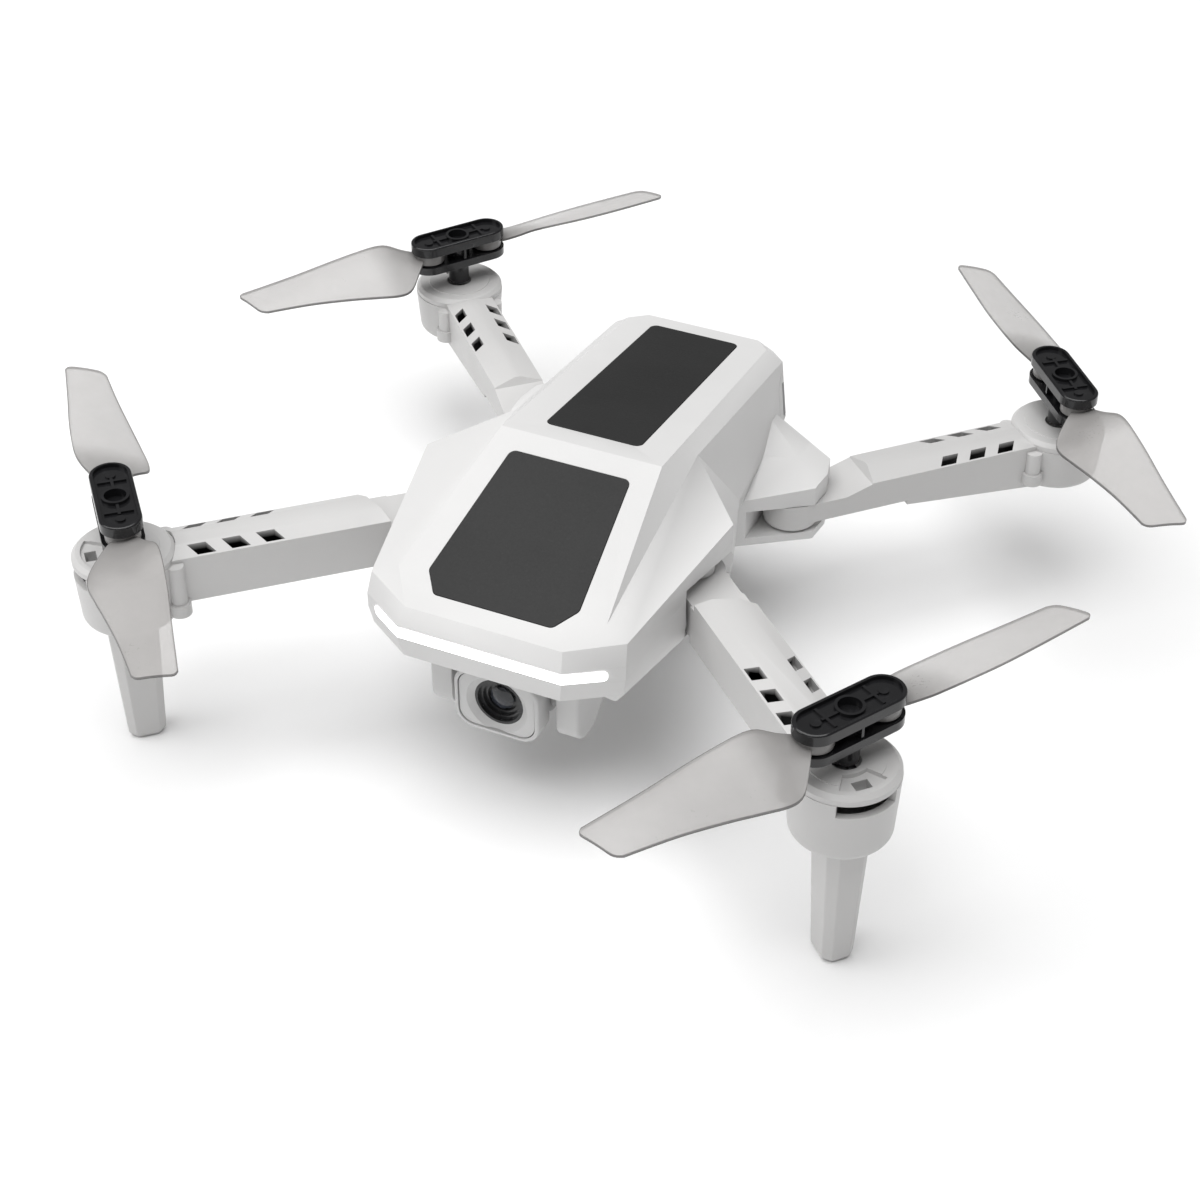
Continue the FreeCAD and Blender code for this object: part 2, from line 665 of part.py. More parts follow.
def camera_pieces():
    y = CAMERA_FRONT_Y
    z = CAMERA_MID_Z
    body = rounded_block(CAMERA_HALF, z - 8.7, z + 8.7, y, y + 8.0, 5.0)
    body = body.makeChamfer(2.2, [e for e in body.Edges if e.BoundBox.YMin > y + 7.99])
    body = body.makeFillet(0.6, [e for e in body.Edges if e.BoundBox.YMax < y + 0.01])
    body = body.fuse(rounded_block(8.2, z - 6.4, z + 6.4, y + 7.0, y + 16.0, 2.5))
    body = body.fuse(rod_x(4.6, -10.0, 10.0, CAMERA_AXIS_Y, CAMERA_AXIS_Z))
    bezel = rounded_block(CAMERA_HALF - 1.25, z - 7.45, z + 7.45, y + 0.35, y + 1.6, 3.9)
    body = body.cut(rounded_block(CAMERA_HALF - 1.0, z - 7.7, z + 7.7, y - 1, y + 1.6, 4.1))
    body = body.cut(rod_y(LENS_R + 0.6, y - 1, y + 7.0, 0, z))
    body = body.cut(rod_x(1.5 + PIN_FIT, -20, 20, CAMERA_AXIS_Y, CAMERA_AXIS_Z))
    flare = Part.makeCone(LENS_R + 1.6, LENS_R, 1.25, Vector(0, y + 0.35, z), Vector(0, 1, 0))
    bezel = bezel.cut(flare)
    ring = rod_y(LENS_R + 0.6, y + 1.6, y + 7.0, 0, z)
    for step, radius in enumerate((5.6, 4.7, 3.8)):
        ring = ring.cut(rod_y(radius, y + 1.0, y + 2.6 + 0.9 * step, 0, z))
    ring = ring.cut(rod_y(3.0, y + 1, y + 6.0, 0, z))
    sphere = Part.makeSphere(6.5, Vector(0, y + 9.1, z))
    glass = sphere.common(rod_y(3.0, y + 2, y + 6.0, 0, z))
    return body, bezel, ring, glass


def camera_yoke():
    """Two cheeks under the nose, a cross pin each, joined by a plate against the nose's underside."""
    top = SKIRT_Z - 0.3
    front, back = NOSE_ROOM_BACK - 18.0, NOSE_ROOM_BACK
    outline = [(front, top), (front, 18.8), (front + 9.0, 18.8), (back, 26.5), (back, top)]
    cheek = side_prism(outline, CHEEK_IN, CHEEK_OUT)
    across = [e for e in cheek.Edges if along_x(e) and e.BoundBox.ZMax < 19.0]
    cheek = cheek.makeFillet(5.0, across)
    outer = [e for e in cheek.Edges if e.BoundBox.XMin > CHEEK_OUT - 0.01]
    cheek = cheek.makeFillet(0.9, [e for e in outer if e.BoundBox.ZMax < top - 0.5])
    pin = rod_x(1.5, 6.0, CHEEK_IN, CAMERA_AXIS_Y, CAMERA_AXIS_Z)
    washer = rod_x(3.2, 10.4, CHEEK_IN, CAMERA_AXIS_Y, CAMERA_AXIS_Z)
    bridge = box(0, CHEEK_OUT, back - 2.0, back, top - 1.5, top)
    half = cheek.fuse([pin, washer, bridge])
    return both_sides(half).removeSplitter()


# ---- inside and underneath ------------------------------------------------------------------
def battery_case(form):
    cap = form.common(battery_profile(0))
    cap = cap.cut(both_sides(box(20.5, 30, 47.6, 60, 46.6, 56.4)))
    cell = box(-19.0, 19.0, 3.0, BATTERY_SEAM_Y + 1, BATTERY_LOW_Z + 0.8, 59.6)
    cell = soften(cell, 2.0, lambda e: along_x(e) and e.BoundBox.YMax < 3.01)
    return cap.fuse(cell).removeSplitter()


def battery_latch(form):
    pad = form.common(box(22.3, 30, 47.9, 60, 46.9, 56.1))
    ribs = box(22.3, 24.0, 49.2, 49.8, 48.2, 54.8)
    return pad.fuse(ribs) if pad.Solids else ribs


def circuit_board():
    board = prism([(-17, 44), (17, 44), (17, -20), (14, -44), (-14, -44), (-17, -20)], 33.2, 34.6)
    parts = [
        box(-6, 6, -8, 4, 34.6, 36.0),
        box(-13, -8, 14, 22, 34.6, 37.0),
        box(8, 13, 14, 22, 34.6, 37.0),
        box(-5, 5, -38, -33, 34.6, 38.2),
        box(-4, 4, 30, 38, 34.6, 37.6),
        box(-14, -10, -22, -16, 34.6, 37.6),
        box(10, 14, -22, -16, 34.6, 37.6),
    ]
    board = board.fuse(parts)
    for x, y in BOARD_POSTS:
        board = board.cut(disc(1.3, 30, 40, x, y))
    return board


BOARD_POSTS = [(-14.5, 38), (14.5, 38), (-11.5, -40), (11.5, -40)]


def board_posts():
    posts = [disc(2.4, BELLY_Z + 0.5, 33.2, x, y) for x, y in BOARD_POSTS]
    posts += [disc(1.3, 33.2, 35.0, x, y) for x, y in BOARD_POSTS]
    return posts[0].fuse(posts[1:])


BELLY_SCREWS = [(-17.5, 30), (17.5, 30), (-17, -30), (17, -30)]


def body_screws():
    screws = []
    for x, y in BELLY_SCREWS:
        head = disc(2.2, BELLY_Z + 0.3, BELLY_Z + 2.0, x, y)
        cross = box(x - 1.4, x + 1.4, y - 0.3, y + 0.3, BELLY_Z, BELLY_Z + 1.1)
        cross = cross.fuse(box(x - 0.3, x + 0.3, y - 1.4, y + 1.4, BELLY_Z, BELLY_Z + 1.1))
        screws.append(head.fuse(disc(1.1, BELLY_Z + 2.0, BELLY_Z + 5.0, x, y)).cut(cross))
    return screws[0].fuse(screws[1:])


def screw_posts():
    posts = [disc(3.4, BELLY_Z, BELLY_Z + 5.2, x, y) for x, y in BELLY_SCREWS]
    return posts[0].fuse(posts[1:])


def screw_holes():
    holes = [disc(2.2, BELLY_Z - 1, BELLY_Z + 2.0, x, y) for x, y in BELLY_SCREWS]
    holes += [disc(1.1, BELLY_Z + 1, BELLY_Z + 5.0, x, y) for x, y in BELLY_SCREWS]
    return holes[0].fuse(holes[1:])


def hinge_pins():
    pin = disc(PIN_R, PIN_LOW, ARM_HEIGHT + 1.2)
    return both_sides(moved(pin, FRONT_HINGE)).fuse(both_sides(moved(pin, REAR_HINGE)))


SKID_X = 12.0
SKID_FRONT = -3.0
SKID_BACK = 42.0
SKID_POST_YS = (1.0, 38.0)


def tail_skid():
    """Two runners joined behind by a bar, on posts, that hold the tail level with the front legs."""
    runner = box(SKID_X - 2.2, SKID_X + 2.2, SKID_FRONT, SKID_BACK, 0, 3.2)
    ends = [e for e in runner.Edges if upright(e)]
    skid = both_sides(runner.makeFillet(2.0, ends))
    skid = skid.fuse(box(-SKID_X, SKID_X, SKID_BACK - 6.4, SKID_BACK - 2.0, 0, 3.2))
    for y in SKID_POST_YS:
        post = Part.makeCone(2.0, 3.4, BELLY_Z - 2.8, Vector(SKID_X, y, 2.8))
        pad = box(SKID_X - 5.0, SKID_X + 5.0, y - 4.5, y + 4.5, BELLY_Z - 1.4, BELLY_Z)
        skid = skid.fuse(both_sides(post.fuse(pad)))
    return skid.removeSplitter()


POWER_BUTTON_Y = 10.0


def power_button():
    button = disc(4.0, BELLY_Z - 0.5, BELLY_Z + 2.6, 0, POWER_BUTTON_Y)
    button = button.makeFillet(0.4, [e for e in button.Edges if e.BoundBox.ZMax < BELLY_Z - 0.49])
    return button.fuse(disc(5.0, BELLY_Z + 2.6, BELLY_Z + 3.4, 0, POWER_BUTTON_Y))


# ---- writing every piece --------------------------------------------------------------------
def write_body():
    top, bottom = covers()
    form = body_form()
    bottom = bottom.fuse([board_posts(), screw_posts()])
    bottom = bottom.cut(screw_holes())
    bottom = bottom.cut(disc(4.15, BELLY_Z - 2, BELLY_Z + 2.3, 0, POWER_BUTTON_Y))
    save("top_cover", largest(top))
    save("bottom_cover", largest(bottom))
    save("front_panel", panel(True))
    save("rear_panel", panel(False))
    save("light_bar", light_bar())
    save("circuit_board", circuit_board())
    save("body_screws", body_screws())
    save("hinge_pins", hinge_pins())
    save("tail_skid", tail_skid())
    save("power_button", power_button())
    save("battery_case", battery_case(form))
    latch = battery_latch(form)
    save("battery_latch_right", latch)
    save("battery_latch_left", mirrored(latch))


def write_camera():
    housing, bezel, ring, glass = camera_pieces()
    save("camera_yoke", camera_yoke())
    save("camera_housing", housing)
    save("camera_bezel", bezel)
    save("camera_lens_ring", ring)
    save("camera_lens_glass", glass)


# where each rotor's blades point at rest, and its turning hand
ROTORS = {
    "front_right": (60.5, -1),
    "front_left": (131.5, 1),
    "rear_right": (129.0, 1),
    "rear_left": (55.0, -1),
}


def write_arm(name):
    front = name.startswith("front")
    left = name.endswith("left")
    hinge = FRONT_HINGE if front else REAR_HINGE
    angle = FRONT_ANGLE if front else REAR_ANGLE

    def place(shape):
        shape = moved(turned(shape, angle), hinge)
        return mirrored(shape) if left else shape

    save(f"{name}_arm", place(arm_shell(front)))
    save(f"{name}_cap", place(pod_cap(front)))
    save(f"{name}_motor", place(motor_can(front)))
    save(f"{name}_screws", place(arm_screws(front)))
    if front:
        save(f"{name}_leg", place(leg_form()))
    side = -1 if left else 1
    axis = Vector(
        side * (hinge.x + reach(front) * math.cos(math.radians(angle))),
        hinge.y + reach(front) * math.sin(math.radians(angle)),
        hinge.z + CAP_TOP + HUB_RISE,
    )
    yaw, hand = ROTORS[name]

    def seat(shape):
        return moved(turned(shape, yaw), axis)

    save(f"{name}_shaft", seat(motor_shaft()))
    save(f"{name}_hub_base", seat(hub_base()))
    save(f"{name}_hub_top", seat(hub_top()))
    save(f"{name}_hub_pins", seat(hub_pins()))
    out = moved(blade(hand), Vector(HUB_PITCH / 2, 0, 0))
    save(f"{name}_blade_a", seat(out))
    save(f"{name}_blade_b", seat(turned(out, 180)))


write_body()
write_camera()
for corner in ROTORS:
    write_arm(corner)
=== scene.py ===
"""Looks for the folding quadcopter: shells, panels, lit nose bar, camera, rotors and studio."""

import json
import math

import bmesh
import bpy
from bpy.props import (
    FloatProperty,
    FloatVectorProperty,
    IntProperty,
    PointerProperty,
)
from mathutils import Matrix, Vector


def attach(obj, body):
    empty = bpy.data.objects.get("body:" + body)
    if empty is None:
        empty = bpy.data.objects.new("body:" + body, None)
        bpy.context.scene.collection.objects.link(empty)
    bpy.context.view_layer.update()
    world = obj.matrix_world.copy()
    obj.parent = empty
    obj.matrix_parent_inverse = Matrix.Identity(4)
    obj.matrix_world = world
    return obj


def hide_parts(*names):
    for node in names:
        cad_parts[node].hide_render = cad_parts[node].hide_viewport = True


bl_info = {
    "name": "Folding Quadcopter Looks",
    "version": (1, 0, 0),
    "blender": (4, 5, 0),
    "location": "View3D > Sidebar > Quadcopter",
    "description": "Finishes and detailed pieces for the folding quadcopter",
    "category": "Object",
}

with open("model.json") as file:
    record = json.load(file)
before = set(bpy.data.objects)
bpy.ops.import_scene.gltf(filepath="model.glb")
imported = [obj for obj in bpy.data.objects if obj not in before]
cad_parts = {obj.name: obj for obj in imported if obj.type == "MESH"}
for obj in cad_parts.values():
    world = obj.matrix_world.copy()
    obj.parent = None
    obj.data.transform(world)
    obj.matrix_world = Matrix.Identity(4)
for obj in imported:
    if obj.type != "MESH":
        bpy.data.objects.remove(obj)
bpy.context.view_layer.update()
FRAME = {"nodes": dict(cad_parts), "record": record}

MM = 0.001
# each corner, and which way its rotor's leading edge faces
CORNERS = {"front_right": -1, "front_left": 1, "rear_right": 1, "rear_left": -1}
FRONT_CORNERS = ("front_right", "front_left")


# ---- sizes and colours a user would change ----------------------------------------------------
class StudioSettings(bpy.types.PropertyGroup):
    """Camera and light of the studio."""

    azimuth: FloatProperty(
        name="Azimuth", description="Camera's turn from straight ahead of the nose towards +X",
        default=math.radians(24.972), subtype="ANGLE", unit="ROTATION",
    )
    elevation: FloatProperty(
        name="Elevation", description="Camera's height as an angle above the floor",
        default=math.radians(37.0), subtype="ANGLE", unit="ROTATION",
    )
    distance: FloatProperty(
        name="Distance", description="From the aim point to the camera",
        default=0.605765, unit="LENGTH",
    )
    aim: FloatVectorProperty(
        name="Aim", description="Point that the camera looks at",
        default=(0.0, -0.011487, 0.019285), subtype="TRANSLATION", unit="LENGTH",
    )
    lens: FloatProperty(
        name="Lens", description="Focal length of the camera", default=72.0, unit="CAMERA",
    )
    floor_tone: FloatVectorProperty(
        name="Floor", description="Colour of the sweep that the drone stands on",
        default=(0.94, 0.94, 0.94), subtype="COLOR", min=0.0, max=1.0,
    )
    room_light: FloatProperty(
        name="Room light", description="Strength of the even light from all around", default=0.22,
    )
    top_power: FloatProperty(
        name="Top light", description="Power of the large overhead softbox",
        default=61.0, unit="POWER",
    )
    side_power: FloatProperty(
        name="Side light", description="Power of the softbox at the left front",
        default=2.2, unit="POWER",
    )


class ShellSettings(bpy.types.PropertyGroup):
    """The white mouldings."""

    shell_tone: FloatVectorProperty(
        name="Shell", description="Colour of the body shells",
        default=(0.665, 0.661, 0.657), subtype="COLOR", min=0.0, max=1.0,
    )
    arm_tone: FloatVectorProperty(
        name="Arms", description="Colour of the arms, pod caps and legs",
        default=(0.57, 0.565, 0.56), subtype="COLOR", min=0.0, max=1.0,
    )
    bezel_tone: FloatVectorProperty(
        name="Bezel", description="Colour of the grey mouldings round the camera",
        default=(0.60, 0.598, 0.595), subtype="COLOR", min=0.0, max=1.0,
    )
    gloss: FloatProperty(
        name="Roughness", description="Roughness of the white mouldings",
        default=0.42, min=0.0, max=1.0, subtype="FACTOR",
    )
    edge: FloatProperty(
        name="Edge", description="Radius of a moulded edge", default=0.55 * MM, unit="LENGTH",
    )
    small_edge: FloatProperty(
        name="Small edge", description="Radius of an edge on a small moulding",
        default=0.3 * MM, unit="LENGTH",
    )
    steps: IntProperty(
        name="Edge steps", description="Segments across a rounded edge", default=3, min=1, max=8,
    )


class PanelSettings(bpy.types.PropertyGroup):
    """The two dark plates let into the top."""

    # one dark film on both plates: the nose plate's lighter tone is painted light, the rear plate's
    # darker tone is painted shade
    front_lit_tone: FloatVectorProperty(
        name="Front plate", description="Colour of the nose plate",
        default=(0.026, 0.026, 0.026), subtype="COLOR", min=0.0, max=1.0,
    )
    rear_shaded_tone: FloatVectorProperty(
        name="Rear plate", description="Colour of the plate over the battery",
        default=(0.020, 0.020, 0.020), subtype="COLOR", min=0.0, max=1.0,
    )
    edge: FloatProperty(
        name="Edge", description="Radius round the plates' upper edge",
        default=0.15 * MM, unit="LENGTH",
    )


class RotorSettings(bpy.types.PropertyGroup):
    """Propeller blades and their black hubs."""

    blade_tone: FloatVectorProperty(
        name="Blade", description="Colour of the smoky blade film",
        default=(0.50, 0.485, 0.475), subtype="COLOR", min=0.0, max=1.0,
    )
    blade_cover: FloatProperty(
        name="Blade cover", description="Share of light that the middle of a blade stops",
        default=0.5, min=0.0, max=1.0, subtype="FACTOR",
    )
    hub_tone: FloatVectorProperty(
        name="Hub", description="Colour of the gloss black hub",
        default=(0.010, 0.010, 0.011), subtype="COLOR", min=0.0, max=1.0,
    )


class LightBarSettings(bpy.types.PropertyGroup):
    """The lit bar round the nose."""

    glow: FloatProperty(
        name="Glow", description="Strength of the bar's light", default=1.9, min=0.0,
    )
    tone: FloatVectorProperty(
        name="Colour", description="Colour of the bar's light",
        default=(1.0, 1.0, 1.0), subtype="COLOR", min=0.0, max=1.0,
    )


SETTINGS = {
    "drone_studio": StudioSettings,
    "drone_shell": ShellSettings,
    "drone_panels": PanelSettings,
    "drone_rotors": RotorSettings,
    "drone_light": LightBarSettings,
}


# ---- shader maths -------------------------------------------------------------------------------
class Value:
    """A shader socket whose operators add Math nodes."""

    def __init__(self, finish, socket):
        self.finish = finish
        self.socket = socket

    def _math(self, operation, *values):
        return self.finish.node(
            "ShaderNodeMath", {"operation": operation}, dict(enumerate(values))
        )

    def __add__(self, other):
        return self._math("ADD", self, other)

    def __mul__(self, other):
        return self._math("MULTIPLY", self, other)

    __radd__ = __add__
    __rmul__ = __mul__

    def between(self, low, high):
        """0 below low, 1 above high, and smooth in between."""
        return self.finish.node(
            "ShaderNodeMapRange",
            {"interpolation_type": "SMOOTHSTEP", "clamp": True},
            {"Value": self, "From Min": low, "From Max": high},
        )


class Finish:
    """One procedural material and the nodes that make it."""

    def __init__(self, name):
        self.material = bpy.data.materials.new(name)
        self.material.use_nodes = True
        self.tree = self.material.node_tree
        self.tree.nodes.clear()
        self.place = self.node("ShaderNodeTexCoord", {}, {}, "Object")

    def node(self, kind, settings, values, output=0):
        """Adds a node, sets it up, and gives back one of its outputs."""
        made = self.tree.nodes.new(kind)
        for name, setting in settings.items():
            setattr(made, name, setting)
        for name, value in values.items():
            socket = made.inputs[name]
            if isinstance(value, Value):
                self.tree.links.new(value.socket, socket)
            elif socket.type == "RGBA" and len(value) == 3:
                socket.default_value = (*value, 1.0)
            else:
                socket.default_value = value
        return Value(self, made.outputs[output]) if len(made.outputs) else None

    def noise(self, per_metre, detail=2.0, roughness=0.5, at=None):
        """Noise of a given fineness, from 0 to 1."""
        return self.node(
            "ShaderNodeTexNoise", {},
            {"Vector": at or self.place, "Scale": per_metre, "Detail": detail,
             "Roughness": roughness},
        )

    def stretched(self, x, y, z):
        """Object coordinates drawn out along the axes."""
        return self.node(
            "ShaderNodeMapping", {}, {"Vector": self.place, "Scale": (x, y, z)}
        )

    def mix(self, factor, first, second):
        """A colour between two colours."""
        made = self.tree.nodes.new("ShaderNodeMix")
        made.data_type = "RGBA"
        for socket, value in zip((made.inputs[0], made.inputs[6], made.inputs[7]),
                                 (factor, first, second)):
            if isinstance(value, Value):
                self.tree.links.new(value.socket, socket)
            elif socket.type == "RGBA":
                socket.default_value = (*value, 1.0)
            else:
                socket.default_value = value
        return Value(self, made.outputs[2])

    def bump(self, height, depth, strength=1.0):
        """A normal from a height between 0 and 1, depth metres deep."""
        return self.node(
            "ShaderNodeBump", {}, {"Height": height, "Distance": depth, "Strength": strength}
        )

    def surface(self, values):
        """A Principled shader."""
        return self.node("ShaderNodeBsdfPrincipled", {}, values, "BSDF")

    def done(self, shader):
        """Links the shader to the output and gives back the material."""
        self.node("ShaderNodeOutputMaterial", {}, {"Surface": shader})
        return self.material


def shade(tone, amount):
    """A colour made lighter or darker."""
    return tuple(min(1.0, part * amount) for part in tone)


# ---- finishes -----------------------------------------------------------------------------------
def moulded_plastic(name, tone, roughness, grain=2600.0, depth=0.012 * MM):
    """Satin moulded plastic: fine spark-eroded grain, faint flow clouds, dark where it is hollow."""
    finish = Finish(name)
    cloud = finish.noise(26.0, 3.0)
    rubbed = finish.noise(140.0, 4.0, 0.6)
    spark = finish.noise(grain, 2.0, 0.6)
    # hollow marks points inside a hollow; there the colour is painted near black as shade
    hollow = finish.node("ShaderNodeAttribute", {"attribute_name": "hollow"}, {}, "Fac")
    colour = finish.mix(cloud.between(0.3, 0.7), shade(tone, 0.975), shade(tone, 1.02))
    grained = finish.mix(spark.between(0.35, 0.75) * 0.12, colour, shade(tone, 0.93))
    return finish.done(finish.surface({
        "Base Color": finish.mix(hollow, grained, shade(tone, 0.03)),
        "Roughness": rubbed.between(0.3, 0.7) * 0.07 + spark * 0.05 + (roughness - 0.06),
        "IOR": 1.46,
        "Normal": finish.bump(spark, depth, 0.5),
    }))


def dark_plate(name, tone, roughness):
    """Matte film-faced plate with a fine pebbled surface."""
    finish = Finish(name)
    pebble = finish.node(
        "ShaderNodeTexVoronoi", {}, {"Vector": finish.place, "Scale": 1700.0}, "Distance"
    )
    haze = finish.noise(30.0, 4.0)
    fleck = finish.noise(900.0, 2.0)
    colour = finish.mix(haze.between(0.3, 0.7), shade(tone, 0.9), shade(tone, 1.12))
    return finish.done(finish.surface({
        "Base Color": finish.mix(fleck.between(0.55, 0.8) * 0.3, colour, shade(tone, 1.5)),
        "Roughness": haze * 0.08 + pebble * 0.1 + roughness,
        "IOR": 1.45,
        "Specular IOR Level": 0.3,
        "Normal": finish.bump(pebble, 0.02 * MM, 0.4),
    }))


def lit_lens(name, settings):
    """Diffusing moulding lit from behind: a row of lamps shows faintly through the film."""
    finish = Finish(name)
    lamp = finish.noise(160.0, 1.0)
    film = finish.noise(2400.0, 1.0)
    return finish.done(finish.surface({
        "Base Color": finish.mix(film, (0.86, 0.87, 0.88), (0.95, 0.95, 0.95)),
        "Roughness": film * 0.1 + 0.25,
        "Emission Color": finish.mix(
            lamp.between(0.3, 0.7), shade(settings.tone, 0.94), tuple(settings.tone)
        ),
        "Emission Strength": settings.glow,
    }))


def turned_metal(name, tone, roughness, lines):
    """Metal with fine rings from turning."""
    finish = Finish(name)
    ring = finish.noise(lines, 3.0, 0.5, finish.stretched(0.2, 0.2, 1.0))
    stain = finish.noise(200.0, 3.0)
    return finish.done(finish.surface({
        "Base Color": finish.mix(stain, shade(tone, 0.9), shade(tone, 1.08)),
        "Metallic": 1.0,
        "Roughness": ring * 0.18 + stain * 0.05 + roughness,
        "Normal": finish.bump(ring, 0.006 * MM, 0.5),
    }))


def solder_mask(name):
    """Green board with copper runs under the mask and pale legend dots."""
    finish = Finish(name)
    run = finish.node(
        "ShaderNodeTexBrick", {"offset": 0.5},
        {"Vector": finish.place, "Scale": 300.0, "Mortar Size": 0.03}, "Fac",
    )
    cloud = finish.noise(120.0, 3.0)
    green = finish.mix(cloud, (0.02, 0.13, 0.06), (0.035, 0.19, 0.09))
    return finish.done(finish.surface({
        "Base Color": finish.mix(run, green, (0.09, 0.30, 0.13)),
        "Roughness": cloud * 0.15 + 0.25,
        "Normal": finish.bump(run, 0.03 * MM, 0.6),
    }))


def soft_button(name, tone):
    """Soft grey rubber with a dusty surface."""
    finish = Finish(name)
    dust = finish.noise(700.0, 4.0, 0.7)
    return finish.done(finish.surface({
        "Base Color": finish.mix(dust, shade(tone, 0.88), shade(tone, 1.14)),
        "Roughness": dust * 0.15 + 0.6,
        "Normal": finish.bump(dust, 0.02 * MM, 0.5),
    }))


def gloss_black(name, tone, roughness):
    """Polished black plastic with faint hairline wear and a film of dust."""
    finish = Finish(name)
    wear = finish.noise(900.0, 5.0, 0.7, finish.stretched(1.0, 0.25, 1.0))
    dust = finish.noise(320.0, 5.0, 0.65)
    ripple = finish.noise(90.0, 2.0)
    return finish.done(finish.surface({
        "Base Color": finish.mix(dust.between(0.5, 0.85) * 0.5, tone, shade(tone, 3.2)),
        "Roughness": wear * 0.1 + dust * 0.08 + roughness,
        "IOR": 1.5,
        "Normal": finish.bump(ripple + wear * 0.1, 0.05 * MM, 0.35),
    }))


def coated_glass(name):
    """The front element of the lens: dark, with a faint blue-violet coating."""
    finish = Finish(name)
    rim = finish.node("ShaderNodeLayerWeight", {}, {"Blend": 0.35}, "Facing")
    smear = finish.noise(260.0, 4.0)
    body = finish.surface({
        # the lighter blue-violet at grazing angles is a painted reflection of the coating
        "Base Color": finish.mix(rim.between(0.1, 0.8), (0.035, 0.04, 0.05), (0.10, 0.11, 0.14)),
        "Roughness": smear * 0.05 + 0.02,
        "IOR": 1.7,
        "Coat Weight": 1.0,
        "Coat Roughness": 0.02,
        "Alpha": rim.between(0.0, 0.9) * 0.5 + 0.38,
    })
    return finish.done(body)


def blade_film(name, settings):
    """Smoky translucent film, thicker and darker towards its root and along its edges."""
    finish = Finish(name)
    flow = finish.noise(70.0, 4.0, 0.55)
    grain = finish.noise(1500.0, 2.0)
    rim = finish.node("ShaderNodeAttribute", {"attribute_name": "rim"}, {}, "Fac")
    root = finish.node("ShaderNodeAttribute", {"attribute_name": "root"}, {}, "Fac")
    cover = root * 0.5 + rim * 0.35 + flow * 0.05 + (settings.blade_cover - 0.03)
    tone = finish.mix(flow, shade(settings.blade_tone, 0.92), shade(settings.blade_tone, 1.07))
    dark = finish.mix(rim.between(0.1, 0.9) * 0.85, tone, shade(settings.blade_tone, 0.15))
    return finish.done(finish.surface({
        "Base Color": finish.mix(root * 0.8, dark, shade(settings.blade_tone, 0.25)),
        "Roughness": grain * 0.08 + flow * 0.08 + 0.22,
        "IOR": 1.5,
        "Alpha": cover,
        "Normal": finish.bump(flow, 0.04 * MM, 0.3),
    }))


# ---- shapes -------------------------------------------------------------------------------------
SMOOTH_ANGLE = 35.0        # degrees: a sharper edge stays sharp in the shading
FLAT_ANGLE = 0.6           # degrees: triangles closer than this are joined into one face
EDGE_ANGLE = 24.0          # degrees: a sharper edge is rounded
MERGE_GAP = 0.002 * MM


def finished(name, mesh, material, body):
    """A new piece from a bmesh, shaded smooth up to an angle, riding on its body."""
    data = bpy.data.meshes.new(name)
    mesh.to_mesh(data)
    mesh.free()
    data.materials.append(material)
    data.shade_smooth()
    data.set_sharp_from_angle(angle=math.radians(SMOOTH_ANGLE))
    piece = bpy.data.objects.new(name, data)
    bpy.context.scene.collection.objects.link(piece)
    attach(piece, body)
    return piece


def merged_copy(node):
    """The packed mesh of a node as a closed bmesh with flat faces joined up again."""
    mesh = bmesh.new()
    mesh.from_mesh(FRAME["nodes"][node].data)
    bmesh.ops.remove_doubles(mesh, verts=mesh.verts, dist=MERGE_GAP)
    bmesh.ops.dissolve_limit(
        mesh, angle_limit=math.radians(FLAT_ANGLE), verts=mesh.verts, edges=mesh.edges,
        delimit={"NORMAL"},
    )
    return mesh


def record_body(node):
    """The body that a node rides on."""
    for body, members in FRAME["record"]["behaviour"]["bodies"].items():
        if node in members:
            return body
    raise KeyError(node)


def softened(node, radius, steps, material, in_hollow_shade=None):
    """A copy of a node with its sharp edges rounded, standing for the node."""
    mesh = merged_copy(node)
    # points inside a hollow get the hollow mark, which paints their colour dark as shade
    if in_hollow_shade:
        layer = mesh.verts.layers.float.new("hollow")
        for vert in mesh.verts:
            vert[layer] = 1.0 if in_hollow_shade(vert.co) else 0.0
    piece = finished(
        f"{node}_soft", mesh, material, record_body(node)
    )
    bevel = piece.modifiers.new("edge", "BEVEL")
    bevel.width = radius
    bevel.segments = steps
    bevel.limit_method = "ANGLE"
    bevel.angle_limit = math.radians(EDGE_ANGLE)
    bevel.use_clamp_overlap = True
    bevel.harden_normals = True
    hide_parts(node)
    return piece


def joint_place(name):
    """Where a joint sits, in metres."""
    for joint in FRAME["record"]["behaviour"]["joints"]:
        if joint["name"] == name:
            return Vector(joint["pos_m"])
    raise KeyError(name)


# a blade at distances from its pin: leading edge, trailing edge, pitch in degrees, camber; in mm
BLADE_STATIONS = (
    (3.4, 3.0, 3.2, 3.0, 0.05),
    (6.6, 4.6, 6.6, 13.0, 0.3),
    (10.2, 6.8, 10.2, 21.5, 0.7),
    (13.6, 7.5, 11.0, 23.0, 0.95),
    (20.0, 7.4, 10.0, 21.0, 1.0),
    (28.0, 6.9, 8.5, 17.5, 0.9),
    (40.0, 5.8, 6.6, 13.0, 0.6),
    (57.0, 4.5, 4.9, 9.0, 0.3),
)
BLADE_THICK = 0.6
BLADE_TIP_SLANT = 3.2      # how much shorter the trailing edge is at the tip
BLADE_TIP_ROUND = 1.8
BLADE_RIM = 0.35           # width of the dark rim
BLADE_ROOT = 18.0          # the root's darker tone fades out at this distance
BLADE_EYE = (1.25, 4.2)    # bore and outer radius of the eye
BLADE_EYE_HALF = 1.3
BLADE_ROWS = (56, 16)      # faces along and across a blade
BLADE_EYE_SIDES = 40


